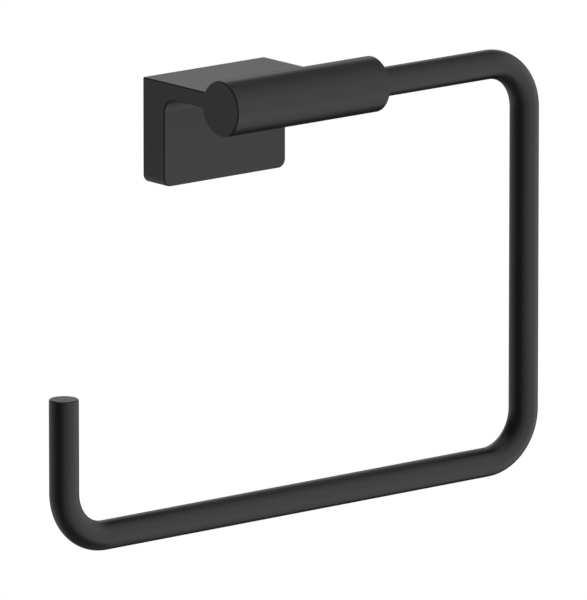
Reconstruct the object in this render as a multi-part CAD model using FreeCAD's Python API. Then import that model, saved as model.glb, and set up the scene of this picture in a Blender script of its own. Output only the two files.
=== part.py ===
import FreeCAD, Part
import math
import os

from FreeCAD import Vector

# Wall-mounted towel ring: a cast bracket with a horizontal barrel, and an open ring bent
# from one round bar that is seated in the barrel.
# Millimetres. +X runs to the right along the wall, +Y points into the wall, +Z is up.
# The origin is the centre of the flange's back face, which lies on the wall plane Y = 0.

# Ring: one round bar bent in the plane of the barrel's axis, sized between its centre lines
bar_diameter = 12.0
ring_width = 240.5
ring_drop = 165.5
ring_bend_radius = 20.2
free_leg_height = 58.6
bar_end_rounding = 0.6
bar_seat_depth = 30.0
bar_lead_chamfer = 0.8
bar_flat_depth = 0.5
bar_flat_length = 8.0

# Barrel: the round boss that the bar is seated in
barrel_diameter = 22.8
barrel_length = 79.5
bore_clearance = 0.1

# Arm: a flat plate from the flange's top edge to the barrel, whose axis is a little below its top face
barrel_reach = 58.5
barrel_axis_drop = 2.9
arm_thickness = 6.6
cove_radius = 6.5

# Flange: a shell that is open towards the wall
flange_width = 63.5
flange_height = 43.4
flange_depth = 13.3
flange_corner_radius = 3.5
outer_edge_rounding = 0.6
shell_wall = 2.6
screw_wall = 4.0
cavity_corner_radius = 1.5

# Wall plate: a folded strip inside the flange, with a lip above and a lip below
plate_thickness = 2.0
plate_bend_radius = 1.0
plate_side_gap = 4.15
plate_front_gap = 2.7
plate_lower_gap = 3.9
plate_corner_radius = 2.0
upper_lip_splay = 12.0
ledge_height = 5.3
slot_width = 5.2
slot_length = 9.0
slot_edge_margin = 8.0

# Lock screws: headless, with a hexagon socket
screw_diameter = 5.0
thread_clearance = 0.05
screw_chamfer = 0.4
socket_across_flats = 2.5
socket_depth = 2.4
dog_diameter = 3.5
dog_length = 2.5
dog_clearance = 0.15
plate_screw_recess = 0.4
ring_screw_recess = 0.9

# Places worked out from the sizes above
bar_radius = bar_diameter / 2
barrel_radius = barrel_diameter / 2
screw_radius = screw_diameter / 2
half_width = flange_width / 2
flange_top = flange_height / 2
flange_bottom = -flange_height / 2
barrel_axis_z = flange_top - barrel_axis_drop
barrel_right_x = barrel_length / 2
seat_floor_x = barrel_right_x - bar_seat_depth
ring_screw_x = barrel_right_x - bar_seat_depth / 2

cavity_ceiling = flange_top - shell_wall
cavity_floor = flange_bottom + screw_wall
cavity_depth = flange_depth - shell_wall

plate_width = flange_width - 2 * (shell_wall + plate_side_gap)
plate_top = cavity_ceiling - ledge_height
plate_bottom = cavity_floor + plate_lower_gap
plate_centre_z = (plate_top + plate_bottom) / 2
lip_reach = cavity_depth - plate_front_gap
plate_screw_y = -(plate_thickness + lip_reach) / 2
slot_x = plate_width / 2 - slot_edge_margin

# Turn in degrees that tells a sharp edge from a smooth seam, distance that counts as none, and overlap
# of bodies that are fused or cut
SHARP_TURN = 20.0
NO_DISTANCE = 1e-6
JOINING_OVERLAP = 1.0
MM3_PER_CM3 = 1000.0


def line_loop(points):
    """Return the face inside a closed loop of straight lines through the points."""
    return Part.Face(Part.makePolygon(points + points[:1]))


def across_width(y, z, width):
    """Return the point at (y, z) on the left end of something of this width, centred on X = 0."""
    return Vector(-width / 2, y, z)


def sharp_edges(solid):
    """Return the edges of a solid at which its two faces meet at a visible angle."""
    found = []
    for edge in solid.Edges:
        faces = solid.ancestorsOfType(edge, Part.Face)
        if len(faces) < 2:
            continue
        middle = edge.valueAt((edge.FirstParameter + edge.LastParameter) / 2)
        normals = [face.normalAt(*face.Surface.parameter(middle)) for face in faces[:2]]
        if math.degrees(normals[0].getAngle(normals[1])) > SHARP_TURN:
            found.append(edge)
    return found


def lies_at_y(edge, y):
    """Say whether all of an edge's ends lie at this depth."""
    return all(abs(vertex.Y - y) < NO_DISTANCE for vertex in edge.Vertexes)


def runs_along(edge, direction):
    """Say whether an edge is a straight line along a direction."""
    if not isinstance(edge.Curve, Part.Line):
        return False
    return abs(edge.Curve.Direction.dot(direction)) > 1 - NO_DISTANCE


def folds_at_y(strip, y):
    """Return the wall plate's fold lines, which run across its width, at this depth."""
    return [edge for edge in strip.Edges if runs_along(edge, Vector(1, 0, 0)) and lies_at_y(edge, y)]


def flange_and_arm():
    """Return the flange and its arm, one side profile with a cove, drawn across the width."""
    arm_underside = flange_top - arm_thickness
    cove_start = Vector(-half_width, -flange_depth, arm_underside - cove_radius)
    cove_end = Vector(-half_width, -flange_depth - cove_radius, arm_underside)
    cove_centre = Vector(-half_width, cove_end.y, cove_start.z)
    cove_middle = cove_centre + Vector(0, 1, 1).normalize() * cove_radius
    outline = [
        Part.LineSegment(across_width(0, flange_bottom, flange_width), across_width(0, flange_top, flange_width)),
        Part.LineSegment(
            across_width(0, flange_top, flange_width), across_width(-barrel_reach, flange_top, flange_width)
        ),
        Part.LineSegment(
            across_width(-barrel_reach, flange_top, flange_width),
            across_width(-barrel_reach, arm_underside, flange_width),
        ),
        Part.LineSegment(across_width(-barrel_reach, arm_underside, flange_width), cove_end),
        Part.Arc(cove_end, cove_middle, cove_start),
        Part.LineSegment(cove_start, across_width(-flange_depth, flange_bottom, flange_width)),
        Part.LineSegment(
            across_width(-flange_depth, flange_bottom, flange_width), across_width(0, flange_bottom, flange_width)
        ),
    ]
    profile = Part.Wire([curve.toShape() for curve in outline])
    solid = Part.Face(profile).extrude(Vector(flange_width, 0, 0))

    lower_corners = [
        edge
        for edge in solid.Edges
        if runs_along(edge, Vector(0, 1, 0)) and abs(edge.Vertexes[0].Z - flange_bottom) < NO_DISTANCE
    ]
    solid = solid.makeFillet(flange_corner_radius, lower_corners)

    # The edges on the wall stay sharp, and so do those that are buried in the barrel.
    outer_edges = [
        edge for edge in sharp_edges(solid) if not lies_at_y(edge, 0) and not lies_at_y(edge, -barrel_reach)
    ]
    return solid.makeFillet(outer_edge_rounding, outer_edges)


def barrel():
    """Return the solid barrel, along X, with both rims rounded."""
    cylinder = Part.makeCylinder(
        barrel_radius, barrel_length, Vector(-barrel_right_x, -barrel_reach, barrel_axis_z), Vector(1, 0, 0)
    )
    rims = [edge for edge in cylinder.Edges if isinstance(edge.Curve, Part.Circle)]
    return cylinder.makeFillet(outer_edge_rounding, rims)


def flange_cavity():
    """Return the hollow behind the flange, which takes the wall plate."""
    width = flange_width - 2 * shell_wall
    block = Part.makeBox(
        width, cavity_depth, cavity_ceiling - cavity_floor, Vector(-width / 2, -cavity_depth, cavity_floor)
    )
    corners = [edge for edge in block.Edges if runs_along(edge, Vector(0, 1, 0))]
    return block.makeFillet(cavity_corner_radius, corners)


def upper_lip_height(depth):
    """Return the height of the upper lip's top face at a depth in front of the wall."""
    return plate_top + depth * math.tan(math.radians(upper_lip_splay))


def hook_ledge():
    """Return the ledge under the cavity's ceiling that hooks down behind the plate's upper lip."""
    back = plate_thickness + plate_bend_radius
    root = cavity_ceiling + JOINING_OVERLAP
    section = line_loop([
        across_width(-back, upper_lip_height(back), plate_width),
        across_width(-lip_reach, upper_lip_height(lip_reach), plate_width),
        across_width(-lip_reach, root, plate_width),
        across_width(-back, root, plate_width),
    ])
    return section.extrude(Vector(plate_width, 0, 0))


def upright_hole(x, y, bottom, top):
    """Return the cutter of a tapped hole for a lock screw, at its major diameter."""
    return Part.makeCylinder(screw_radius + thread_clearance, top - bottom, Vector(x, y, bottom))


def bracket_body():
    """Return the one-piece casting: flange, arm and barrel, with its bore and tapped holes."""
    casting = flange_and_arm().fuse(barrel()).removeSplitter()
    casting = casting.cut(flange_cavity()).fuse(hook_ledge()).removeSplitter()
    bore = Part.makeCylinder(
        bar_radius + bore_clearance,
        bar_seat_depth + JOINING_OVERLAP,
        Vector(seat_floor_x, -barrel_reach, barrel_axis_z),
        Vector(1, 0, 0),
    )
    plate_screw_hole = upright_hole(0, plate_screw_y, flange_bottom - JOINING_OVERLAP, cavity_floor + JOINING_OVERLAP)
    ring_screw_hole = upright_hole(
        ring_screw_x, -barrel_reach, barrel_axis_z - barrel_radius - JOINING_OVERLAP, barrel_axis_z
    )
    return casting.cut([bore, plate_screw_hole, ring_screw_hole]).Solids[0]


def ring_bar():
    """Return the bar: seated in the barrel, bent down, along, and up to its free end."""
    right = ring_width / 2
    bottom = barrel_axis_z - ring_drop
    bend = ring_bend_radius
    diagonal = bend * math.sqrt(0.5)

    def at(x, z):
        """Return a point in the ring's plane."""
        return Vector(x, -barrel_reach, z)

    def corner(centre_x, centre_z, side, rise):
        """Return the middle of a bend's arc, towards this side and up or down."""
        return at(centre_x + side * diagonal, centre_z + rise * diagonal)

    free_end_z = bottom + free_leg_height
    path = Part.Wire([
        curve.toShape()
        for curve in [
            Part.LineSegment(at(seat_floor_x, barrel_axis_z), at(right - bend, barrel_axis_z)),
            Part.Arc(
                at(right - bend, barrel_axis_z),
                corner(right - bend, barrel_axis_z - bend, 1, 1),
                at(right, barrel_axis_z - bend),
            ),
            Part.LineSegment(at(right, barrel_axis_z - bend), at(right, bottom + bend)),
            Part.Arc(at(right, bottom + bend), corner(right - bend, bottom + bend, 1, -1), at(right - bend, bottom)),
            Part.LineSegment(at(right - bend, bottom), at(bend - right, bottom)),
            Part.Arc(at(bend - right, bottom), corner(bend - right, bottom + bend, -1, -1), at(-right, bottom + bend)),
            Part.LineSegment(at(-right, bottom + bend), at(-right, free_end_z)),
        ]
    ])
    section = Part.Wire(Part.makeCircle(bar_radius, at(seat_floor_x, barrel_axis_z), Vector(1, 0, 0)))
    bar = path.makePipeShell([section], True, False)

    free_rim = [edge for edge in bar.Edges if all(abs(v.Z - free_end_z) < NO_DISTANCE for v in edge.Vertexes)]
    bar = bar.makeFillet(bar_end_rounding, free_rim)
    seated_rim = [
        edge for edge in bar.Edges if all(abs(v.X - seat_floor_x) < NO_DISTANCE for v in edge.Vertexes)
    ]
    bar = bar.makeChamfer(bar_lead_chamfer, seated_rim)

    flat_cutter = Part.makeBox(
        bar_flat_length,
        bar_diameter,
        bar_flat_depth + JOINING_OVERLAP,
        Vector(
            ring_screw_x - bar_flat_length / 2,
            -barrel_reach - bar_radius,
            barrel_axis_z - bar_radius - JOINING_OVERLAP,
        ),
    )
    return bar.cut(flat_cutter).Solids[0]


def wall_plate():
    """Return the folded strip that is screwed to the wall, with its slots and lips."""
    splay = math.radians(upper_lip_splay)
    tip_z = upper_lip_height(lip_reach)
    inner_tip_y = -lip_reach - plate_thickness * math.sin(splay)
    inner_tip_z = tip_z - plate_thickness * math.cos(splay)
    inner_fold_z = plate_top - plate_thickness / math.cos(splay) + plate_thickness * math.tan(splay)
    section = line_loop([
        across_width(0, plate_bottom, plate_width),
        across_width(0, plate_top, plate_width),
        across_width(-lip_reach, tip_z, plate_width),
        across_width(inner_tip_y, inner_tip_z, plate_width),
        across_width(-plate_thickness, inner_fold_z, plate_width),
        across_width(-plate_thickness, plate_bottom + plate_thickness, plate_width),
        across_width(-lip_reach, plate_bottom + plate_thickness, plate_width),
        across_width(-lip_reach, plate_bottom, plate_width),
    ])
    strip = section.extrude(Vector(plate_width, 0, 0))

    strip = strip.makeFillet(plate_bend_radius, folds_at_y(strip, -plate_thickness))
    strip = strip.makeFillet(plate_bend_radius + plate_thickness, folds_at_y(strip, 0))

    lip_corners = [
        edge
        for edge in strip.Edges
        if abs(edge.Length - plate_thickness) < NO_DISTANCE
        and all(vertex.Y < NO_DISTANCE - lip_reach for vertex in edge.Vertexes)
    ]
    strip = strip.makeFillet(plate_corner_radius, lip_corners)

    cutters = [slot_cutter(-slot_x), slot_cutter(slot_x)]
    cutters.append(Part.makeCylinder(
        dog_diameter / 2 + dog_clearance,
        plate_thickness + 2 * JOINING_OVERLAP,
        Vector(0, plate_screw_y, plate_bottom - JOINING_OVERLAP),
    ))
    return strip.cut(cutters).Solids[0]


def slot_cutter(x):
    """Return the cutter of one level slot through the wall plate."""
    radius = slot_width / 2
    offset = slot_length / 2 - radius
    length = plate_thickness + 2 * JOINING_OVERLAP
    start_y = -plate_thickness - JOINING_OVERLAP
    ends = [
        Part.makeCylinder(radius, length, Vector(x + side * offset, start_y, plate_centre_z), Vector(0, 1, 0))
        for side in (-1, 1)
    ]
    middle = Part.makeBox(2 * offset, length, slot_width, Vector(x - offset, start_y, plate_centre_z - radius))
    return middle.fuse(ends).removeSplitter()


def lock_screw(x, y, bottom, top, point_length):
    """Return an upright headless screw whose socket faces down.

    The thread ends at top, and a plain dog of point_length stands on it where that isn't zero.
    """
    chamfered = screw_radius - screw_chamfer
    half_section = [
        Vector(0, 0, bottom),
        Vector(chamfered, 0, bottom),
        Vector(screw_radius, 0, bottom + screw_chamfer),
        Vector(screw_radius, 0, top - screw_chamfer),
        Vector(chamfered, 0, top),
    ]
    if point_length > 0:
        half_section.append(Vector(dog_diameter / 2, 0, top))
        half_section.append(Vector(dog_diameter / 2, 0, top + point_length))
    half_section.append(Vector(0, 0, top + point_length))
    screw = line_loop(half_section).revolve(Vector(0, 0, 0), Vector(0, 0, 1), 360)

    corner_radius = socket_across_flats / math.sqrt(3)
    hexagon = [
        Vector(
            corner_radius * math.cos(math.radians(60 * side)),
            corner_radius * math.sin(math.radians(60 * side)),
            bottom - JOINING_OVERLAP,
        )
        for side in range(6)
    ]
    socket = line_loop(hexagon).extrude(Vector(0, 0, socket_depth + JOINING_OVERLAP))
    screw = screw.cut(socket).Solids[0]
    screw.translate(Vector(x, y, 0))
    return screw


def plate_lock_screw():
    """Return the screw through the flange's floor, whose dog locates in the plate's lower lip."""
    return lock_screw(0, plate_screw_y, flange_bottom + plate_screw_recess, plate_bottom, dog_length)


def ring_lock_screw():
    """Return the screw under the barrel, whose flat point presses on the bar's milled flat."""
    bottom = barrel_axis_z - barrel_radius + ring_screw_recess
    top = barrel_axis_z - bar_radius + bar_flat_depth
    return lock_screw(ring_screw_x, -barrel_reach, bottom, top, 0)


pieces = {
    "bracket_body": bracket_body(),
    "ring_bar": ring_bar(),
    "wall_plate": wall_plate(),
    "plate_lock_screw": plate_lock_screw(),
    "ring_lock_screw": ring_lock_screw(),
}

os.makedirs("parts", exist_ok=True)
for name, shape in pieces.items():
    shape.exportStep(f"parts/{name}.step")
    state = "valid" if shape.isValid() else "not valid"
    print(f"{name}: {shape.ShapeType}, {state}, {shape.Volume / MM3_PER_CM3:.3f} cm3")
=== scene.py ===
"""Looks of a wall-mounted towel ring: a cast bracket with a round barrel, and an open ring of bent bar.

Every length is in metres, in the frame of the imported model: +X to the right along the wall, +Y into
the wall, +Z up, with the origin at the centre of the flange's back.
"""

import logging
import math
from collections.abc import Callable, Iterable, Sequence
from dataclasses import dataclass
from enum import Enum

import bmesh
import bpy
from mathutils import Matrix, Vector


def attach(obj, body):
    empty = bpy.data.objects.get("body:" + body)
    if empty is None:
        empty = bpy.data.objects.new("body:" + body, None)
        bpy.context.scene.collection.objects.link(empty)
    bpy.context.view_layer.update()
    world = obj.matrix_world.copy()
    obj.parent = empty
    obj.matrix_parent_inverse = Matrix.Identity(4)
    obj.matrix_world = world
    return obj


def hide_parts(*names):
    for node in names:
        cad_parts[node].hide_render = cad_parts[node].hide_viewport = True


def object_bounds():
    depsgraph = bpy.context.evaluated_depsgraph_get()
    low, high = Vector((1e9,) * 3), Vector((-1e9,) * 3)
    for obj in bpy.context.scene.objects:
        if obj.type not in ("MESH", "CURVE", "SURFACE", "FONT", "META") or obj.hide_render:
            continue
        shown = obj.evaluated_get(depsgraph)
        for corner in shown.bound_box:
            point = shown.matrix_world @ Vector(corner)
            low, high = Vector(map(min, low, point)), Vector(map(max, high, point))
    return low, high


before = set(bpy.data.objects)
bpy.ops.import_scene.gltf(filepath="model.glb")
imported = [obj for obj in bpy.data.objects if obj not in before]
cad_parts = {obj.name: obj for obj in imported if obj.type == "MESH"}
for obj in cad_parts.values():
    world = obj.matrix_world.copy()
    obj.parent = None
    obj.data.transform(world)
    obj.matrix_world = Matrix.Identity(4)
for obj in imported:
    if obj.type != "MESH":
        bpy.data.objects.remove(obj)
solid_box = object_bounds()

LOG = logging.getLogger("towel_ring")

MM = 0.001
QUARTER_TURN = math.pi / 2
FULL_TURN = 2 * math.pi
ALONG_X = Vector((1.0, 0.0, 0.0))
ALONG_Y = Vector((0.0, 1.0, 0.0))
ALONG_Z = Vector((0.0, 0.0, 1.0))

# What counts as the same place and direction, as one vertex, and as a sharp edge
SAME_PLACE = 0.001 * MM
SAME_DIRECTION = 0.99999
MERGE_DISTANCE = 0.0005 * MM
THREAD_MERGE_DISTANCE = MERGE_DISTANCE * 10
CREASE_ANGLE = math.radians(28.0)

# How far a shape that cuts or joins reaches past the face that it meets
CUT_OVERLAP = 1.0 * MM

# Chamfer of the sharp edges, and the small rounding that the coat gives the chamfer's own edges
BROKEN_EDGE = 0.45 * MM
SOFTENED_EDGE = 0.1 * MM
CHAMFER_FACES = 1
SOFTENED_FACES = 2

# Share of a slot's half width that its corners are rounded by, so that they stay just apart
NEARLY_WHOLE = 0.9999

HEXAGON_SIDES = 6

# How strongly large faces outweigh small ones in the shading, where 50 is neutral and 100 the most
FLAT_FACE_WEIGHT = 100

# Values between which most of a noise pattern lies
NOISE_LOW = 0.3
NOISE_HIGH = 0.7

WHITE = (1.0, 1.0, 1.0)

Colour = tuple[float, float, float]
EdgeTest = Callable[[bmesh.types.BMEdge], bool]
SocketValue = float | Sequence[float] | bpy.types.NodeSocket


class Slot(Enum):
    """Names of the record's material slots."""

    BRACKET = "bracket_coating"
    BAR = "bar_coating"
    PLATE = "plate_steel"
    SCREW = "screw_steel"


class Boolean(Enum):
    """Ways in which one closed shape changes another."""

    JOIN = "UNION"
    CUT = "DIFFERENCE"
    KEEP_COMMON = "INTERSECT"


class ScrewPoint(Enum):
    """Ends that a headless screw can press with."""

    FLAT = "flat"
    DOG = "dog"


class Combine(Enum):
    """Ways in which a node tree combines numbers."""

    ADD = "ADD"
    MULTIPLY = "MULTIPLY"
    LARGEST = "MAXIMUM"


class Ease(Enum):
    """Ways in which a ramp runs between its ends."""

    EVEN = "LINEAR"
    SOFT = "SMOOTHSTEP"


# Node trees


def opaque(colour: Colour) -> tuple[float, float, float, float]:
    """Give a colour its full alpha."""
    return (*colour, 1.0)


class NodeBoard:
    """A node tree that is filled with short calls."""

    # Places of a colour Mix node's sockets, because their names occur more than once
    MIX_SHARE = 0
    MIX_FIRST = 6
    MIX_SECOND = 7
    MIX_RESULT = 2

    def __init__(self, tree: bpy.types.NodeTree) -> None:
        """Empty the tree.

        Args:
            tree: The node tree of a material or of the world.
        """
        tree.nodes.clear()
        self.tree = tree

    def add(self, kind: str, **settings: object) -> bpy.types.Node:
        """Add a node and set its properties.

        Args:
            kind: The node's type, such as ShaderNodeTexNoise.
            settings: The node's properties by name.

        Returns:
            The new node.
        """
        node = self.tree.nodes.new(kind)
        for name, value in settings.items():
            setattr(node, name, value)
        return node

    def put(self, socket: bpy.types.NodeSocket, value: SocketValue) -> None:
        """Set an input, or link it where the value is another node's output.

        Args:
            socket: The input.
            value: A plain value or an output socket.
        """
        if isinstance(value, bpy.types.NodeSocket):
            self.tree.links.new(value, socket)
        else:
            socket.default_value = value

    def feed(self, node: bpy.types.Node, **inputs: SocketValue) -> bpy.types.Node:
        """Set or link a node's inputs, named with underscores for spaces.

        Args:
            node: The node to feed.
            inputs: A plain value or an output socket, by the input's name.

        Returns:
            The same node.
        """
        for name, value in inputs.items():
            self.put(node.inputs[name.replace("_", " ")], value)
        return node

    def combined(self, how: Combine, *terms: SocketValue) -> bpy.types.NodeSocket:
        """Combine two or more numbers one after another.

        Args:
            how: What is done with them.
            terms: Numbers or output sockets.

        Returns:
            The output socket of the result.
        """
        result = terms[0]
        for term in terms[1:]:
            node = self.add("ShaderNodeMath", operation=how.value)
            self.put(node.inputs[0], result)
            self.put(node.inputs[1], term)
            result = node.outputs[0]
        return result

    def ramp(
        self,
        value: bpy.types.NodeSocket,
        start: float,
        end: float,
        low: float,
        high: float,
        ease: Ease = Ease.SOFT,
    ) -> bpy.types.NodeSocket:
        """Map a number from one range to another and hold it at the ends.

        Args:
            value: The number's socket.
            start: Where the change starts.
            end: Where the change ends.
            low: The result at the start.
            high: The result at the end.
            ease: How the change runs between them.

        Returns:
            The output socket of the result.
        """
        node = self.add("ShaderNodeMapRange", interpolation_type=ease.value)
        self.feed(node, Value=value, From_Min=start, From_Max=end, To_Min=low, To_Max=high)
        return node.outputs[0]

    def colour_mix(self, share: bpy.types.NodeSocket, first: Colour, second: Colour) -> bpy.types.NodeSocket:
        """Mix two colours.

        Args:
            share: The socket of the second colour's share.
            first: The colour at a share of 0.
            second: The colour at a share of 1.

        Returns:
            The output socket of the mixed colour.
        """
        node = self.add("ShaderNodeMix", data_type="RGBA")
        self.put(node.inputs[self.MIX_SHARE], share)
        self.put(node.inputs[self.MIX_FIRST], opaque(first))
        self.put(node.inputs[self.MIX_SECOND], opaque(second))
        return node.outputs[self.MIX_RESULT]

    def noise(self, where: bpy.types.NodeSocket, size: float, detail: float) -> bpy.types.NodeSocket:
        """Add even noise of one grain size.

        Args:
            where: The coordinates, in metres.
            size: The grain's size in metres.
            detail: How many finer layers lie on the first.

        Returns:
            The output socket of the noise's value.
        """
        node = self.add("ShaderNodeTexNoise")
        return self.feed(node, Vector=where, Scale=1.0 / size, Detail=detail).outputs[0]

    def relief(self, height: bpy.types.NodeSocket, depth: float) -> bpy.types.NodeSocket:
        """Turn a pattern into a fine relief.

        Args:
            height: The pattern's socket.
            depth: The relief's depth in metres.

        Returns:
            The output socket of the normal.
        """
        node = self.add("ShaderNodeBump")
        return self.feed(node, Height=height, Distance=depth, Strength=1.0).outputs[0]


def blank_material(name: str) -> tuple[bpy.types.Material, NodeBoard]:
    """Make a material with an empty node tree.

    Args:
        name: The material's name.

    Returns:
        The material and its nodes.
    """
    material = bpy.data.materials.new(name)
    material.use_nodes = True
    return material, NodeBoard(material.node_tree)


# Finishes


@dataclass(frozen=True)
class SatinCoat:
    """Black coat of the bracket and the bar: satin, nearly black, even, with a very faint peel."""

    name: str
    colour: Colour = (0.006, 0.006, 0.0062)
    roughness: float = 0.3
    roughness_change: float = 0.008
    cloud_size: float = 7.0 * MM
    cloud_detail: float = 3.0
    peel_size: float = 0.4 * MM
    peel_detail: float = 2.0
    peel_depth: float = 0.001 * MM

    def build(self) -> bpy.types.Material:
        """Make the material.

        Returns:
            The coat, with its patterns on Object coordinates.
        """
        material, board = blank_material(self.name)
        where = board.add("ShaderNodeTexCoord").outputs["Object"]
        clouds = board.noise(where, self.cloud_size, self.cloud_detail)
        peel = board.noise(where, self.peel_size, self.peel_detail)
        least = self.roughness - self.roughness_change
        most = self.roughness + self.roughness_change
        shader = board.feed(
            board.add("ShaderNodeBsdfPrincipled"),
            Base_Color=opaque(self.colour),
            Roughness=board.ramp(clouds, NOISE_LOW, NOISE_HIGH, least, most),
            Normal=board.relief(peel, self.peel_depth),
        )
        board.feed(board.add("ShaderNodeOutputMaterial"), Surface=shader.outputs[0])
        return material


@dataclass(frozen=True)
class WorkedSteel:
    """Bare stainless steel with the fine lines that rolling or turning leaves, and faint stains."""

    name: str
    colour: Colour
    roughness: float
    line_stretch: tuple[float, float, float]
    smoother: float = 0.06
    rougher: float = 0.08
    line_size: float = 0.12 * MM
    line_detail: float = 3.0
    line_depth: float = 0.0025 * MM
    stain_size: float = 9.0 * MM
    stain_detail: float = 4.0
    stained_below: float = 0.35
    clean_above: float = 0.65
    stain_shade: float = 0.88

    def build(self) -> bpy.types.Material:
        """Make the material.

        Returns:
            The steel, whose lines are long along the axes with the least stretch.
        """
        material, board = blank_material(self.name)
        where = board.add("ShaderNodeTexCoord").outputs["Object"]
        mapping = board.feed(board.add("ShaderNodeMapping"), Vector=where, Scale=self.line_stretch)
        lines = board.noise(mapping.outputs[0], self.line_size, self.line_detail)
        stains = board.noise(where, self.stain_size, self.stain_detail)
        clean = board.ramp(stains, self.stained_below, self.clean_above, 0.0, 1.0)
        red, green, blue = (shade * self.stain_shade for shade in self.colour)
        least = self.roughness - self.smoother
        most = self.roughness + self.rougher
        shader = board.feed(
            board.add("ShaderNodeBsdfPrincipled"),
            Base_Color=board.colour_mix(clean, (red, green, blue), self.colour),
            Metallic=1.0,
            Roughness=board.ramp(lines, NOISE_LOW, NOISE_HIGH, least, most),
            Normal=board.relief(lines, self.line_depth),
        )
        board.feed(board.add("ShaderNodeOutputMaterial"), Surface=shader.outputs[0])
        return material


@dataclass(frozen=True)
class Finishes:
    """The materials that the pieces are dressed in."""

    bracket: bpy.types.Material
    bar: bpy.types.Material
    plate: bpy.types.Material
    screw: bpy.types.Material

    @classmethod
    def build(cls) -> "Finishes":
        """Make every finish once.

        Returns:
            The finishes.
        """
        plate = WorkedSteel(
            name="rolled_plate_steel",
            colour=(0.56, 0.55, 0.53),
            roughness=0.34,
            line_stretch=(0.04, 1.0, 1.0),
        )
        screw = WorkedSteel(
            name="turned_screw_steel",
            colour=(0.5, 0.49, 0.47),
            roughness=0.26,
            line_stretch=(0.25, 0.25, 1.0),
        )
        return cls(
            bracket=SatinCoat("black_casting_coat").build(),
            bar=SatinCoat("black_bar_coat").build(),
            plate=plate.build(),
            screw=screw.build(),
        )


# Meshes


def shown(mesh: bmesh.types.BMesh, name: str) -> bpy.types.Object:
    """Turn a bmesh into an object in the scene, at the origin.

    Args:
        mesh: The shape, which is freed.
        name: The object's name.

    Returns:
        The object.
    """
    data = bpy.data.meshes.new(name)
    mesh.to_mesh(data)
    mesh.free()
    made = bpy.data.objects.new(name, data)
    bpy.context.scene.collection.objects.link(made)
    return made


def extruded(outline: Sequence[tuple[float, float]], width: float) -> bmesh.types.BMesh:
    """Draw a side profile across a width that is centred on X = 0.

    Args:
        outline: The profile's corners as (y, z).
        width: The width along X.

    Returns:
        The closed shape.
    """
    mesh = bmesh.new()
    corners = [mesh.verts.new((-width / 2, y, z)) for y, z in outline]
    side = mesh.faces.new(corners)
    grown = bmesh.ops.extrude_face_region(mesh, geom=[side], use_keep_orig=True)["geom"]
    moved = [item for item in grown if isinstance(item, bmesh.types.BMVert)]
    bmesh.ops.translate(mesh, verts=moved, vec=ALONG_X * width)
    bmesh.ops.recalc_face_normals(mesh, faces=mesh.faces)
    return mesh


def upright_cylinder(radius: float, bottom: Vector, length: float, sides: int) -> bmesh.types.BMesh:
    """Make a closed upright cylinder.

    Args:
        radius: Its radius, to the corners.
        bottom: The centre of its lower end.
        length: Its length.
        sides: How many sides it has.

    Returns:
        The closed shape.
    """
    mesh = bmesh.new()
    bmesh.ops.create_cone(
        mesh, cap_ends=True, cap_tris=False, segments=sides, radius1=radius, radius2=radius, depth=length
    )
    bmesh.ops.translate(mesh, verts=mesh.verts, vec=bottom + ALONG_Z * length / 2)
    return mesh


def turned_from_z(mesh: bmesh.types.BMesh, axis: Vector, place: Vector) -> bmesh.types.BMesh:
    """Turn a shape that stands on the origin along Z to another axis, and move it.

    Args:
        mesh: The shape.
        axis: The axis that its Z turns to.
        place: Where its origin goes.

    Returns:
        The same shape.
    """
    turn = ALONG_Z.rotation_difference(axis).to_matrix().to_4x4()
    bmesh.ops.transform(mesh, matrix=Matrix.Translation(place) @ turn, verts=mesh.verts)
    return mesh


def bevelled(mesh: bmesh.types.BMesh, width: float, faces: int, wanted: EdgeTest) -> None:
    """Bevel the edges that pass a test.

    Args:
        mesh: The shape.
        width: The bevel's width on each side, which is the radius at a square edge.
        faces: How many faces go round it; one makes a chamfer.
        wanted: The test of an edge.
    """
    edges = [edge for edge in mesh.edges if wanted(edge)]
    bmesh.ops.bevel(
        mesh,
        geom=edges,
        offset=width,
        offset_type="OFFSET",
        segments=faces,
        profile=0.5,
        affect="EDGES",
        material=-1,
    )


def is_crease(edge: bmesh.types.BMEdge) -> bool:
    """Say whether an edge's two faces meet at a visible angle."""
    return len(edge.link_faces) == 2 and edge.calc_face_angle() > CREASE_ANGLE


def any_edge(_edge: bmesh.types.BMEdge) -> bool:
    """Pass every edge."""
    return True


def broken(mesh: bmesh.types.BMesh, wanted: EdgeTest = any_edge) -> None:
    """Chamfer sharp edges, as a casting's are dressed, and soften the chamfers as a coat does.

    Args:
        mesh: The shape.
        wanted: The test of a sharp edge that is broken.
    """
    for width, faces in ((BROKEN_EDGE, CHAMFER_FACES), (SOFTENED_EDGE, SOFTENED_FACES)):
        bevelled(mesh, width, faces, lambda edge: is_crease(edge) and wanted(edge))


def runs_along(edge: bmesh.types.BMEdge, axis: Vector) -> bool:
    """Say whether an edge runs along an axis."""
    start, end = (vert.co for vert in edge.verts)
    return abs((end - start).normalized().dot(axis)) > SAME_DIRECTION


def lies_at(edge: bmesh.types.BMEdge, axis: Vector, place: float) -> bool:
    """Say whether both ends of an edge lie at a place along an axis."""
    return all(abs(vert.co.dot(axis) - place) < SAME_PLACE for vert in edge.verts)


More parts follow.
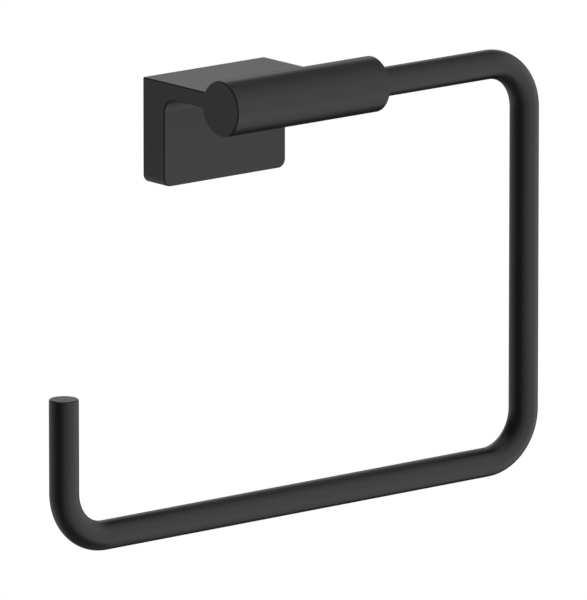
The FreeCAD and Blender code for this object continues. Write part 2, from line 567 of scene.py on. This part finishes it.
def changed_by(
    piece: bpy.types.Object, how: Boolean, shapes: Iterable[bmesh.types.BMesh]
) -> bpy.types.Object:
    """Join closed shapes to a piece, cut them out of it, or keep what it shares with them.

    Args:
        piece: The piece.
        how: What the shapes do to it.
        shapes: The closed shapes, which are used up.

    Returns:
        The same piece, with its new mesh.
    """
    tools = [shown(shape, "tool") for shape in shapes]
    for tool in tools:
        step = piece.modifiers.new("step", "BOOLEAN")
        step.operation = how.value
        step.solver = "EXACT"
        step.object = tool
    graph = bpy.context.evaluated_depsgraph_get()
    result = bpy.data.meshes.new_from_object(piece.evaluated_get(graph))
    result.name = piece.name
    piece.modifiers.clear()
    piece.data = result
    for tool in tools:
        bpy.data.objects.remove(tool)
    return piece


def dressed(piece: bpy.types.Object, node: str, finish: bpy.types.Material) -> bpy.types.Object:
    """Shade a piece, give it its finish and let it stand for its solid.

    Args:
        piece: The piece.
        node: The name of the solid that it replaces.
        finish: The finish.

    Returns:
        The same piece.
    """
    mesh = bmesh.new()
    mesh.from_mesh(piece.data)
    bmesh.ops.remove_doubles(mesh, verts=mesh.verts, dist=MERGE_DISTANCE)
    for face in mesh.faces:
        face.smooth = True
    for edge in mesh.edges:
        edge.smooth = not is_crease(edge)
    mesh.to_mesh(piece.data)
    mesh.free()
    piece.data.materials.clear()
    piece.data.materials.append(finish)
    flats = piece.modifiers.new("flat_faces", "WEIGHTED_NORMAL")
    flats.mode = "FACE_AREA"
    flats.weight = FLAT_FACE_WEIGHT
    flats.keep_sharp = True
    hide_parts(node)
    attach(piece, "root")
    return piece


# Pieces


@dataclass
class BracketBody:
    """One casting: flange, arm and barrel, hollow behind the flange, with its bore and tapped holes."""

    plate: "WallPlate"
    flange_width: float = 63.5 * MM
    flange_top: float = 21.7 * MM
    flange_bottom: float = -21.7 * MM
    flange_depth: float = 13.3 * MM
    corner_radius: float = 3.5 * MM
    arm_thickness: float = 6.6 * MM
    cove_radius: float = 6.5 * MM
    barrel_radius: float = 11.4 * MM
    barrel_length: float = 79.5 * MM
    barrel_reach: float = 58.5 * MM
    barrel_height: float = 18.8 * MM
    bore_radius: float = 6.1 * MM
    bore_floor: float = 9.75 * MM
    cavity_side: float = 29.15 * MM
    cavity_floor: float = -17.7 * MM
    cavity_ceiling: float = 19.1 * MM
    cavity_depth: float = 10.7 * MM
    cavity_corner_radius: float = 1.5 * MM
    tapped_radius: float = 2.55 * MM
    plate_screw_recess: float = 0.4 * MM
    ring_screw_recess: float = 0.9 * MM
    cove_faces: int = 32
    corner_faces: int = 12
    cavity_corner_faces: int = 8
    barrel_sides: int = 144
    bore_sides: int = 96
    tapped_sides: int = 48

    @property
    def top_left_back_corner(self) -> Vector:
        """Give the flange's top left corner on the wall."""
        return Vector((-self.flange_width / 2, 0.0, self.flange_top))

    @property
    def barrel_bottom(self) -> float:
        """Give the height of the barrel's underside."""
        return self.barrel_height - self.barrel_radius

    @property
    def plate_screw_place(self) -> tuple[float, float]:
        """Give the axis of the plate's lock screw as (x, y)."""
        return (0.0, self.plate.dog_hole_y)

    @property
    def ring_screw_place(self) -> tuple[float, float]:
        """Give the axis of the ring's lock screw as (x, y), halfway along the bore."""
        return ((self.bore_floor + self.barrel_length / 2) / 2, -self.barrel_reach)

    def _flange_and_arm(self) -> bmesh.types.BMesh:
        """Draw the flange and its arm as one profile, with the cove between them.

        Returns:
            The closed shape.
        """
        underside = self.flange_top - self.arm_thickness
        mesh = extruded(
            [
                (0.0, self.flange_top),
                (-self.barrel_reach, self.flange_top),
                (-self.barrel_reach, underside),
                (-self.flange_depth, underside),
                (-self.flange_depth, self.flange_bottom),
                (0.0, self.flange_bottom),
            ],
            self.flange_width,
        )
        bevelled(
            mesh, self.cove_radius, self.cove_faces,
            lambda edge: lies_at(edge, ALONG_Y, -self.flange_depth) and lies_at(edge, ALONG_Z, underside),
        )
        bevelled(
            mesh, self.corner_radius, self.corner_faces,
            lambda edge: runs_along(edge, ALONG_Y) and lies_at(edge, ALONG_Z, self.flange_bottom),
        )
        broken(
            mesh,
            lambda edge: not lies_at(edge, ALONG_Y, 0.0) and not lies_at(edge, ALONG_Y, -self.barrel_reach),
        )
        return mesh

    def _barrel(self) -> bmesh.types.BMesh:
        """Make the barrel along X, with both rims broken.

        Returns:
            The closed shape.
        """
        start = Vector((0.0, 0.0, -self.barrel_length / 2))
        mesh = upright_cylinder(self.barrel_radius, start, self.barrel_length, self.barrel_sides)
        broken(mesh)
        return turned_from_z(mesh, ALONG_X, Vector((0.0, -self.barrel_reach, self.barrel_height)))

    def _cavity(self) -> bmesh.types.BMesh:
        """Make the hollow behind the flange, which takes the wall plate.

        Returns:
            The closed shape of the hollow.
        """
        mesh = extruded(
            [
                (CUT_OVERLAP, self.cavity_ceiling),
                (-self.cavity_depth, self.cavity_ceiling),
                (-self.cavity_depth, self.cavity_floor),
                (CUT_OVERLAP, self.cavity_floor),
            ],
            2 * self.cavity_side,
        )
        bevelled(
            mesh, self.cavity_corner_radius, self.cavity_corner_faces,
            lambda edge: runs_along(edge, ALONG_Y),
        )
        return mesh

    def _ledge(self) -> bmesh.types.BMesh:
        """Make the ledge that hooks down behind the wall plate's upper lip.

        Returns:
            The closed shape, which reaches into the cavity's ceiling.
        """
        back = self.plate.thickness + self.plate.inner_bend
        front = self.plate.lip_reach
        slope = math.tan(self.plate.upper_splay)
        root = self.cavity_ceiling + CUT_OVERLAP
        return extruded(
            [
                (-back, root),
                (-front, root),
                (-front, self.plate.half_height + front * slope),
                (-back, self.plate.half_height + back * slope),
            ],
            self.plate.width,
        )

    def _tapped_hole(self, place: tuple[float, float], bottom: float, top: float) -> bmesh.types.BMesh:
        """Make the upright hole of a lock screw.

        Args:
            place: Its axis as (x, y).
            bottom: Its lower end.
            top: Its upper end.

        Returns:
            The closed shape of the hole.
        """
        return upright_cylinder(self.tapped_radius, Vector((*place, bottom)), top - bottom, self.tapped_sides)

    def build(self, finish: bpy.types.Material) -> bpy.types.Object:
        """Make the casting.

        Args:
            finish: The coat.

        Returns:
            The piece.
        """
        casting = shown(self._flange_and_arm(), "bracket_casting")
        changed_by(casting, Boolean.JOIN, [self._barrel()])
        changed_by(casting, Boolean.CUT, [self._cavity()])
        changed_by(casting, Boolean.JOIN, [self._ledge()])
        bore = upright_cylinder(self.bore_radius, Vector(), self.barrel_length / 2, self.bore_sides)
        turned_from_z(bore, ALONG_X, Vector((self.bore_floor, -self.barrel_reach, self.barrel_height)))
        plate_screw_hole = self._tapped_hole(
            self.plate_screw_place, self.flange_bottom - CUT_OVERLAP, self.cavity_floor + CUT_OVERLAP
        )
        ring_screw_hole = self._tapped_hole(
            self.ring_screw_place, self.barrel_bottom - CUT_OVERLAP, self.barrel_height
        )
        changed_by(casting, Boolean.CUT, [bore, plate_screw_hole, ring_screw_hole])
        return dressed(casting, "bracket_body", finish)


@dataclass
class RingBar:
    """The round bar: seated in the barrel, bent down, along, and up to its free end."""

    bracket: BracketBody
    bar_radius: float = 6.0 * MM
    drop: float = 165.5 * MM
    half_width: float = 120.25 * MM
    bend_radius: float = 20.2 * MM
    free_leg: float = 58.6 * MM
    lead_chamfer: float = 0.8 * MM
    flat_length: float = 8.0 * MM
    flat_depth: float = 0.5 * MM
    round_sides: int = 96
    bend_steps: int = 36

    @property
    def plane(self) -> float:
        """Give the place along Y of the plane that the bar is bent in."""
        return -self.bracket.barrel_reach

    @property
    def top(self) -> float:
        """Give the height of the upper run's centre line."""
        return self.bracket.barrel_height

    @property
    def underside(self) -> float:
        """Give the height of the upper run's underside."""
        return self.top - self.bar_radius

    @property
    def flat_height(self) -> float:
        """Give the height of the flat that is milled under the seated end."""
        return self.underside + self.flat_depth

    def _straight(
        self, mesh: bmesh.types.BMesh, rim: list[bmesh.types.BMEdge], run: Vector
    ) -> list[bmesh.types.BMEdge]:
        """Lengthen the bar by a straight run.

        Args:
            mesh: The bar.
            rim: The edges of its open end.
            run: The run's direction and length.

        Returns:
            The edges of its new open end.
        """
        grown = bmesh.ops.extrude_edge_only(mesh, edges=rim)["geom"]
        moved = [item for item in grown if isinstance(item, bmesh.types.BMVert)]
        bmesh.ops.translate(mesh, verts=moved, vec=run)
        return [edge for edge in mesh.edges if edge.verts[0] in moved and edge.verts[1] in moved]

    def _bend(
        self, mesh: bmesh.types.BMesh, rim: list[bmesh.types.BMEdge], centre: Vector
    ) -> list[bmesh.types.BMEdge]:
        """Lengthen the bar by a quarter bend, clockwise as seen from the front.

        Args:
            mesh: The bar.
            rim: The edges of its open end.
            centre: The bend's centre.

        Returns:
            The edges of its new open end.
        """
        swept = bmesh.ops.spin(
            mesh,
            geom=rim,
            cent=centre,
            axis=ALONG_Y,
            angle=QUARTER_TURN,
            steps=self.bend_steps,
            use_merge=False,
        )["geom_last"]
        return [item for item in swept if isinstance(item, bmesh.types.BMEdge)]

    def _bent(self) -> bmesh.types.BMesh:
        """Bend the bar, close it, and break the edges of its two ends.

        Returns:
            The closed shape.
        """
        seat_x = self.bracket.bore_floor
        bottom = self.top - self.drop
        straight_half = self.half_width - self.bend_radius
        inner_top = self.top - self.bend_radius
        inner_bottom = bottom + self.bend_radius
        free_end = bottom + self.free_leg
        mesh = bmesh.new()
        bmesh.ops.create_circle(mesh, segments=self.round_sides, radius=self.bar_radius)
        turned_from_z(mesh, ALONG_X, Vector((seat_x, self.plane, self.top)))
        rim = self._straight(mesh, list(mesh.edges), ALONG_X * (straight_half - seat_x))
        rim = self._bend(mesh, rim, Vector((straight_half, self.plane, inner_top)))
        rim = self._straight(mesh, rim, -ALONG_Z * (inner_top - inner_bottom))
        rim = self._bend(mesh, rim, Vector((straight_half, self.plane, inner_bottom)))
        rim = self._straight(mesh, rim, -ALONG_X * 2 * straight_half)
        rim = self._bend(mesh, rim, Vector((-straight_half, self.plane, inner_bottom)))
        self._straight(mesh, rim, ALONG_Z * (free_end - inner_bottom))
        bmesh.ops.holes_fill(mesh, edges=mesh.edges, sides=0)
        bmesh.ops.remove_doubles(mesh, verts=mesh.verts, dist=MERGE_DISTANCE)
        bmesh.ops.recalc_face_normals(mesh, faces=mesh.faces)
        bevelled(
            mesh, self.lead_chamfer, CHAMFER_FACES,
            lambda edge: is_crease(edge) and lies_at(edge, ALONG_X, seat_x),
        )
        near_end = free_end - 2 * BROKEN_EDGE
        broken(mesh, lambda edge: all(vert.co.x < 0.0 and vert.co.z > near_end for vert in edge.verts))
        return mesh

    def _milled_away(self) -> bmesh.types.BMesh:
        """Make what is milled off the seated end for the lock screw's flat.

        Returns:
            The closed shape.
        """
        mesh = extruded(
            [
                (self.plane - self.bar_radius, self.flat_height),
                (self.plane + self.bar_radius, self.flat_height),
                (self.plane + self.bar_radius, self.underside - CUT_OVERLAP),
                (self.plane - self.bar_radius, self.underside - CUT_OVERLAP),
            ],
            self.flat_length,
        )
        bmesh.ops.translate(mesh, verts=mesh.verts, vec=ALONG_X * self.bracket.ring_screw_place[0])
        return mesh

    def build(self, finish: bpy.types.Material) -> bpy.types.Object:
        """Bend the bar and mill its flat.

        Args:
            finish: The coat.

        Returns:
            The piece.
        """
        bar = shown(self._bent(), "bent_ring_bar")
        changed_by(bar, Boolean.CUT, [self._milled_away()])
        return dressed(bar, "ring_bar", finish)


@dataclass
class WallPlate:
    """The folded strip on the wall, with two level slots, a splayed upper lip and a flat lower lip."""

    width: float = 50.0 * MM
    half_height: float = 13.8 * MM
    thickness: float = 2.0 * MM
    lip_reach: float = 8.0 * MM
    upper_splay: float = math.radians(12.0)
    inner_bend: float = 1.0 * MM
    lip_corner: float = 2.0 * MM
    slot_place: float = 17.0 * MM
    slot_width: float = 5.2 * MM
    slot_length: float = 9.0 * MM
    dog_hole_radius: float = 1.9 * MM
    dog_hole_y: float = -5.0 * MM
    lip_corner_faces: int = 8
    inner_bend_faces: int = 8
    outer_bend_faces: int = 12
    slot_corner_faces: int = 16
    dog_hole_sides: int = 48

    def _folded_strip(self) -> bmesh.types.BMesh:
        """Draw the strip's folded profile across its width and round its folds and corners.

        Returns:
            The closed shape.
        """
        slope = math.tan(self.upper_splay)
        tip_z = self.half_height + self.lip_reach * slope
        inner_tip_y = -self.lip_reach - self.thickness * math.sin(self.upper_splay)
        inner_tip_z = tip_z - self.thickness * math.cos(self.upper_splay)
        inner_fold_z = self.half_height - self.thickness / math.cos(self.upper_splay) + self.thickness * slope
        lower_inside = self.thickness - self.half_height
        mesh = extruded(
            [
                (0.0, -self.half_height),
                (0.0, self.half_height),
                (-self.lip_reach, tip_z),
                (inner_tip_y, inner_tip_z),
                (-self.thickness, inner_fold_z),
                (-self.thickness, lower_inside),
                (-self.lip_reach, lower_inside),
                (-self.lip_reach, -self.half_height),
            ],
            self.width,
        )
        bevelled(
            mesh, self.lip_corner, self.lip_corner_faces,
            lambda edge: all(vert.co.y < SAME_PLACE - self.lip_reach for vert in edge.verts)
            and not runs_along(edge, ALONG_X),
        )
        bevelled(
            mesh, self.inner_bend, self.inner_bend_faces,
            lambda edge: runs_along(edge, ALONG_X) and lies_at(edge, ALONG_Y, -self.thickness),
        )
        bevelled(
            mesh, self.inner_bend + self.thickness, self.outer_bend_faces,
            lambda edge: runs_along(edge, ALONG_X) and lies_at(edge, ALONG_Y, 0.0),
        )
        return mesh

    def _slot(self, x: float) -> bmesh.types.BMesh:
        """Make one level slot.

        Args:
            x: Its middle.

        Returns:
            The closed shape of the slot.
        """
        corner_radius = self.slot_width / 2 * NEARLY_WHOLE
        mesh = bmesh.new()
        bmesh.ops.create_cube(mesh, size=1.0)
        bmesh.ops.scale(
            mesh, verts=mesh.verts, vec=(self.slot_length, self.thickness + 2 * CUT_OVERLAP, self.slot_width)
        )
        bevelled(mesh, corner_radius, self.slot_corner_faces, lambda edge: runs_along(edge, ALONG_Y))
        bmesh.ops.translate(mesh, verts=mesh.verts, vec=(x, -self.thickness / 2, 0.0))
        return mesh

    def build(self, finish: bpy.types.Material) -> bpy.types.Object:
        """Fold and punch the strip.

        Args:
            finish: The steel.

        Returns:
            The piece.
        """
        strip = shown(self._folded_strip(), "folded_wall_plate")
        dog_hole = upright_cylinder(
            self.dog_hole_radius,
            Vector((0.0, self.dog_hole_y, -self.half_height - CUT_OVERLAP)),
            self.thickness + 2 * CUT_OVERLAP,
            self.dog_hole_sides,
        )
        changed_by(strip, Boolean.CUT, [self._slot(-self.slot_place), self._slot(self.slot_place), dog_hole])
        return dressed(strip, "wall_plate", finish)


@dataclass
class LockScrew:
    """A headless screw that stands upright in its tapped hole, with its hexagon socket below."""

    name: str
    node: str
    place: tuple[float, float]
    bottom: float
    top: float
    point: ScrewPoint
    radius: float = 2.5 * MM
    pitch: float = 0.8 * MM
    thread_depth: float = 0.43 * MM
    crest_share: float = 0.125
    flank_share: float = 0.3125
    root_share: float = 0.25
    end_chamfer: float = 0.4 * MM
    socket_across_flats: float = 2.5 * MM
    socket_depth: float = 2.4 * MM
    dog_radius: float = 1.75 * MM
    dog_length: float = 2.5 * MM
    steps_a_turn: int = 48
    turns_below: float = 1.5
    spare_turns: int = 2
    blank_growth: float = 1.001
    blank_sides: int = 96
    dog_sides: int = 64

    def _thread(self) -> bmesh.types.BMesh:
        """Sweep one pitch of the thread's section along a helix, cut it to length and close its ends.

        Returns:
            The closed shape.
        """
        root_radius = self.radius - self.thread_depth
        root_starts = self.crest_share + self.flank_share
        root_ends = root_starts + self.root_share
        section = [
            (self.radius, 0.0),
            (self.radius, self.crest_share * self.pitch),
            (root_radius, root_starts * self.pitch),
            (root_radius, root_ends * self.pitch),
            (self.radius, self.pitch),
        ]
        # The helix starts below the screw and has turns to spare, so that both ends can be cut flat
        turns = math.ceil((self.top - self.bottom) / self.pitch) + self.spare_turns
        start = self.bottom - self.turns_below * self.pitch
        mesh = bmesh.new()
        corners = [mesh.verts.new((radius, 0.0, start + height)) for radius, height in section]
        edges = [mesh.edges.new(pair) for pair in zip(corners, corners[1:])]
        bmesh.ops.spin(
            mesh,
            geom=corners + edges,
            cent=Vector(),
            axis=ALONG_Z,
            dvec=ALONG_Z * self.pitch / self.steps_a_turn,
            angle=FULL_TURN * turns,
            steps=turns * self.steps_a_turn,
            use_merge=False,
        )
        bmesh.ops.remove_doubles(mesh, verts=mesh.verts, dist=THREAD_MERGE_DISTANCE)
        for height, outward in ((self.bottom, -ALONG_Z), (self.top, ALONG_Z)):
            bmesh.ops.bisect_plane(
                mesh,
                geom=mesh.verts[:] + mesh.edges[:] + mesh.faces[:],
                plane_co=ALONG_Z * height,
                plane_no=outward,
                clear_outer=True,
            )
        rims = [edge for edge in mesh.edges if len(edge.link_faces) == 1]
        bmesh.ops.holes_fill(mesh, edges=rims, sides=0)
        bmesh.ops.recalc_face_normals(mesh, faces=mesh.faces)
        bmesh.ops.translate(mesh, verts=mesh.verts, vec=(*self.place, 0.0))
        return mesh

    def _blank(self) -> bmesh.types.BMesh:
        """Make the plain blank, a trifle thicker than the thread, whose chamfers trim the thread's ends.

        Returns:
            The closed shape.
        """
        mesh = upright_cylinder(
            self.radius * self.blank_growth,
            Vector((*self.place, self.bottom)),
            self.top - self.bottom,
            self.blank_sides,
        )
        bevelled(mesh, self.end_chamfer, CHAMFER_FACES, is_crease)
        return mesh

    def build(self, finish: bpy.types.Material) -> bpy.types.Object:
        """Cut the thread, the socket and the point.

        Args:
            finish: The steel.

        Returns:
            The piece.
        """
        screw = shown(self._thread(), self.name)
        changed_by(screw, Boolean.KEEP_COMMON, [self._blank()])
        socket = upright_cylinder(
            self.socket_across_flats / math.sqrt(3.0),
            Vector((*self.place, self.bottom - CUT_OVERLAP)),
            self.socket_depth + CUT_OVERLAP,
            HEXAGON_SIDES,
        )
        changed_by(screw, Boolean.CUT, [socket])
        if self.point is ScrewPoint.DOG:
            dog = upright_cylinder(
                self.dog_radius,
                Vector((*self.place, self.top - CUT_OVERLAP)),
                self.dog_length + CUT_OVERLAP,
                self.dog_sides,
            )
            changed_by(screw, Boolean.JOIN, [dog])
        return dressed(screw, self.node, finish)


@dataclass
class TowelRing:
    """The whole object."""

    bracket: BracketBody
    bar: RingBar
    plate: WallPlate
    screws: tuple[LockScrew, LockScrew]

    @classmethod
    def standard(cls) -> "TowelRing":
        """Put the object together, each piece placed by those that hold it.

        Returns:
            The object, before its meshes are built.
        """
        plate = WallPlate()
        bracket = BracketBody(plate)
        bar = RingBar(bracket)
        plate_screw = LockScrew(
            name="plate_dog_screw",
            node="plate_lock_screw",
            place=bracket.plate_screw_place,
            bottom=bracket.flange_bottom + bracket.plate_screw_recess,
            top=-plate.half_height,
            point=ScrewPoint.DOG,
        )
        ring_screw = LockScrew(
            name="ring_flat_screw",
            node="ring_lock_screw",
            place=bracket.ring_screw_place,
            bottom=bracket.barrel_bottom + bracket.ring_screw_recess,
            top=bar.flat_height,
            point=ScrewPoint.FLAT,
        )
        return cls(bracket=bracket, bar=bar, plate=plate, screws=(plate_screw, ring_screw))

    def build(self, finishes: Finishes) -> list[bpy.types.Object]:
        """Build and dress every piece.

        Args:
            finishes: The materials.

        Returns:
            The pieces.
        """
        pieces = [
            self.bracket.build(finishes.bracket),
            self.bar.build(finishes.bar),
            self.plate.build(finishes.plate),
        ]
        return pieces + [screw.build(finishes.screw) for screw in self.screws]


# Studio


def toward(bearing: float, elevation: float) -> Vector:
    """Give a direction as seen from the object.

    Args:
        bearing: Degrees from straight out of the wall, positive to the right.
        elevation: Degrees above the level.

    Returns:
        The unit vector.
    """
    turn = math.radians(bearing)
    rise = math.radians(elevation)
    return Vector((math.sin(turn) * math.cos(rise), -math.cos(turn) * math.cos(rise), math.sin(rise)))


@dataclass(frozen=True)
class Glow:
    """One soft, broad light of the surroundings, brightest in one direction; a shade has a negative level.

    It starts where the cosine of the angle to that direction reaches edge, and is whole from full on. It
    can fade out between two heights of the direction that is looked in.
    """

    bearing: float
    elevation: float
    level: float
    edge: float
    full: float
    fades_from_height: float = 2.0
    fades_to_height: float = 3.0

    def add_to(
        self, board: NodeBoard, direction: bpy.types.NodeSocket, height: bpy.types.NodeSocket
    ) -> bpy.types.NodeSocket:
        """Add the glow's nodes.

        Args:
            board: The world's nodes.
            direction: The socket of the direction that is looked in.
            height: The socket of that direction's height.

        Returns:
            The output socket of its light.
        """
        node = board.add("ShaderNodeVectorMath", operation="DOT_PRODUCT")
        board.put(node.inputs[0], direction)
        board.put(node.inputs[1], toward(self.bearing, self.elevation))
        light = board.ramp(node.outputs["Value"], self.edge, self.full, 0.0, self.level, Ease.EVEN)
        fade = board.ramp(height, self.fades_from_height, self.fades_to_height, 1.0, 0.0)
        return board.combined(Combine.MULTIPLY, light, fade)


@dataclass(frozen=True)
class Softbox:
    """A soft studio lamp that faces the object from one side."""

    name: str
    bearing: float
    elevation: float
    distance: float
    width: float
    height: float
    level: float

    def build(self, target: Vector) -> None:
        """Hang the lamp so that it faces the target.

        Args:
            target: The point that the lamp faces.
        """
        lamp = bpy.data.lights.new(self.name, "AREA")
        lamp.shape = "RECTANGLE"
        lamp.size = self.width
        lamp.size_y = self.height
        lamp.energy = self.level * math.pi * self.width * self.height
        away = toward(self.bearing, self.elevation)
        hung = bpy.data.objects.new(self.name, lamp)
        hung.location = target + away * self.distance
        hung.rotation_mode = "QUATERNION"
        hung.rotation_quaternion = away.to_track_quat("Z", "Y")
        hung.visible_camera = False
        bpy.context.scene.collection.objects.link(hung)


@dataclass(frozen=True)
class Studio:
    """Pale floor, white surroundings and soft light."""

    floor_drop: float = 1.5
    floor_size: float = 2.0
    floor_colour: Colour = (0.32, 0.32, 0.32)
    floor_white: float = 0.97
    gloss_share: float = 0.035
    base_level: float = 0.095
    glows: tuple[Glow, ...] = (
        # Broad main light from the right front
        Glow(bearing=40.0, elevation=-5.0, level=0.9, edge=-0.2, full=0.85),
        # Low light from behind on the left, which fades out around the level
        Glow(
            bearing=-163.0,
            elevation=-20.0,
            level=0.42,
            edge=0.42,
            full=0.93,
            fades_from_height=-0.1,
            fades_to_height=0.3,
        ),
        # Lights from behind on the right, one above the level and one below it
        Glow(bearing=155.0, elevation=20.0, level=0.55, edge=0.84, full=0.97),
        Glow(bearing=154.0, elevation=-30.0, level=0.42, edge=0.94, full=0.99),
        # Shades on the right: one behind and below the level, and a faint one high up
        Glow(bearing=136.0, elevation=-29.0, level=-0.6, edge=0.76, full=0.93),
        Glow(bearing=110.0, elevation=50.0, level=-0.12, edge=0.86, full=0.98),
        # Light from nearly overhead
        Glow(bearing=180.0, elevation=78.0, level=0.42, edge=0.8, full=0.95),
    )
    lamps: tuple[Softbox, ...] = (
        Softbox(
            name="right_front_softbox",
            bearing=42.0,
            elevation=-4.0,
            distance=1.2,
            width=1.8,
            height=1.6,
            level=0.12,
        ),
    )

    def build(self, target: Vector) -> None:
        """Set the whole studio up.

        Args:
            target: The middle of the object, which the lamps face.
        """
        self._surroundings()
        self._floor(target)
        for lamp in self.lamps:
            lamp.build(target)

    def _seen(self, board: NodeBoard) -> bpy.types.NodeSocket:
        """Tell how much of the plain white a ray sees: all for the camera, a share for gloss and glass.

        Args:
            board: The nodes of the world or of the floor.

        Returns:
            The output socket of the share.
        """
        rays = board.add("ShaderNodeLightPath").outputs
        in_gloss = board.combined(Combine.ADD, rays["Is Glossy Ray"], rays["Is Transmission Ray"])
        share = board.combined(Combine.MULTIPLY, in_gloss, self.gloss_share)
        return board.combined(Combine.ADD, rays["Is Camera Ray"], share)

    def _surroundings(self) -> None:
        """Light the surroundings: white to the camera, soft broad glows for the object."""
        world = bpy.data.worlds.new("studio_surroundings")
        bpy.context.scene.world = world
        world.use_nodes = True
        board = NodeBoard(world.node_tree)
        direction = board.add("ShaderNodeTexCoord").outputs["Generated"]
        height = board.feed(board.add("ShaderNodeSeparateXYZ"), Vector=direction).outputs["Z"]
        glows = [glow.add_to(board, direction, height) for glow in self.glows]
        light = board.combined(Combine.ADD, self.base_level, *glows)
        level = board.combined(Combine.LARGEST, light, 0.0)
        strength = board.add("ShaderNodeMix", data_type="FLOAT")
        board.feed(strength, Factor=self._seen(board), A=level, B=1.0)
        background = board.feed(
            board.add("ShaderNodeBackground"), Color=opaque(WHITE), Strength=strength.outputs[0]
        )
        board.feed(board.add("ShaderNodeOutputWorld"), Surface=background.outputs[0])

    def _floor(self, target: Vector) -> None:
        """Lay the floor well below the object, which hangs on a wall.

        Args:
            target: The middle of the object.
        """
        mesh = bmesh.new()
        bmesh.ops.create_grid(mesh, x_segments=1, y_segments=1, size=self.floor_size / 2)
        bmesh.ops.translate(mesh, verts=mesh.verts, vec=target - ALONG_Z * self.floor_drop)
        floor = shown(mesh, "studio_floor")
        material, board = blank_material("pale_floor")
        lit = board.feed(board.add("ShaderNodeBsdfDiffuse"), Color=opaque(self.floor_colour))
        white = board.feed(board.add("ShaderNodeEmission"), Color=opaque(WHITE), Strength=1.0)
        mixed = board.add("ShaderNodeMixShader")
        board.put(mixed.inputs[0], board.combined(Combine.MULTIPLY, self._seen(board), self.floor_white))
        board.put(mixed.inputs[1], lit.outputs[0])
        board.put(mixed.inputs[2], white.outputs[0])
        board.feed(board.add("ShaderNodeOutputMaterial"), Surface=mixed.outputs[0])
        floor.data.materials.append(material)


@dataclass(frozen=True)
class PhotoCamera:
    """The photograph's camera: far off to the left front, slightly above, on a long lens."""

    bearing: float = 39.677
    elevation: float = 12.504
    distance: float = 5.7108
    far_clip: float = 100.0
    lens_pixels: float = 14182.0
    frame_width: float = 587.0
    frame_height: float = 600.0
    sensor: float = 36.0
    corner_pixel: tuple[float, float] = (143.259, 76.996)

    def build(self, corner: Vector) -> None:
        """Place the camera by the pixel of the flange's top left back corner.

        Args:
            corner: That corner in the model's frame.
        """
        turn = math.radians(self.bearing)
        tilt = math.radians(self.elevation)
        level = Vector((math.sin(turn), math.cos(turn), 0.0))
        right = Vector((math.cos(turn), -math.sin(turn), 0.0))
        ahead = level * math.cos(tilt) - ALONG_Z * math.sin(tilt)
        up = ALONG_Z * math.cos(tilt) + level * math.sin(tilt)
        metres_a_pixel = self.distance / self.lens_pixels
        across = (self.corner_pixel[0] - self.frame_width / 2) * metres_a_pixel
        above = (self.frame_height / 2 - self.corner_pixel[1]) * metres_a_pixel
        place = corner - ahead * self.distance - right * across - up * above

        lens = bpy.data.cameras.new("photo_camera")
        lens.sensor_width = self.sensor
        lens.lens = self.lens_pixels / max(self.frame_width, self.frame_height) * self.sensor
        lens.clip_end = self.far_clip
        camera = bpy.data.objects.new("photo_camera", lens)
        camera.matrix_world = Matrix((
            (right.x, up.x, -ahead.x, place.x),
            (right.y, up.y, -ahead.y, place.y),
            (right.z, up.z, -ahead.z, place.z),
            (0.0, 0.0, 0.0, 1.0),
        ))
        bpy.context.scene.collection.objects.link(camera)
        bpy.context.scene.camera = camera


def report(piece: bpy.types.Object) -> None:
    """Log how many faces and open edges a piece has.

    Args:
        piece: The piece.
    """
    mesh = bmesh.new()
    mesh.from_mesh(piece.data)
    open_edges = sum(1 for edge in mesh.edges if len(edge.link_faces) != 2)
    LOG.info("%s: %d faces, %d open edges", piece.name, len(mesh.faces), open_edges)
    mesh.free()


def main() -> None:
    """Build the object and the studio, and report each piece."""
    logging.basicConfig(level=logging.INFO, format="%(name)s: %(message)s")
    LOG.info("solids in the frame: %d", len(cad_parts))
    bpy.context.scene.view_settings.view_transform = "Standard"
    ring = TowelRing.standard()
    for piece in ring.build(Finishes.build()):
        report(piece)
    Studio().build((solid_box[0] + solid_box[1]) / 2)
    PhotoCamera().build(ring.bracket.top_left_back_corner)


if __name__ == "__main__":
    main()
